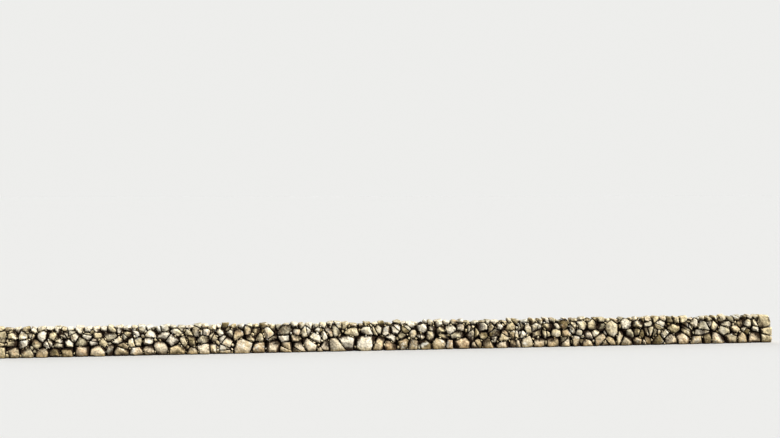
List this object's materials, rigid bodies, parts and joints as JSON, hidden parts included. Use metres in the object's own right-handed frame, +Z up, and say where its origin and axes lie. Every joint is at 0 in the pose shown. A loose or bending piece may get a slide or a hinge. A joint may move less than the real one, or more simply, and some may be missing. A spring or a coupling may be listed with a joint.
{
  "type": "dry stone wall",
  "caption": "Long, low field wall of fitted, unmortared fieldstone: two battered faces of rounded boulders on a large footing, rubble hearting, a smaller top course and stacked stone heads.",
  "frame": {"origin": "middle of the wall's base, at ground level", "axes": "+X along the wall to the head with the large block, -Y out of the front face that the picture shows, +Z up"},
  "size_m": [32.4, 0.7992, 1.2553],
  "materials": {
    "footing_stone": "rough, weathered, earth-stained fieldstone",
    "face_stone": "rough, weathered fieldstone with pale lichen",
    "top_stone": "rough, sun-bleached fieldstone with pale lichen",
    "head_stone": "rough, weathered fieldstone blocks",
    "hearting": "dark, dirty packed rubble"
  },
  "bodies": {
    "root": {"front_footing_1": "footing_stone", "front_footing_2": "footing_stone", "front_footing_3": "footing_stone", "front_footing_4": "footing_stone", "front_footing_5": "footing_stone", "front_footing_6": "footing_stone", "front_face_1": "face_stone", "front_face_2": "face_stone", "front_face_3": "face_stone", "front_face_4": "face_stone", "front_face_5": "face_stone", "front_face_6": "face_stone", "back_footing_1": "footing_stone", "back_footing_2": "footing_stone", "back_footing_3": "footing_stone", "back_footing_4": "footing_stone", "back_footing_5": "footing_stone", "back_footing_6": "footing_stone", "back_face_1": "face_stone", "back_face_2": "face_stone", "back_face_3": "face_stone", "back_face_4": "face_stone", "back_face_5": "face_stone", "back_face_6": "face_stone", "hearting_1": "hearting", "hearting_2": "hearting", "hearting_3": "hearting", "hearting_4": "hearting", "hearting_5": "hearting", "hearting_6": "hearting", "top_course_1": "top_stone", "top_course_2": "top_stone", "top_course_3": "top_stone", "top_course_4": "top_stone", "top_course_5": "top_stone", "top_course_6": "top_stone", "left_head": "head_stone", "right_head": "head_stone"}
  },
  "joints": []
}
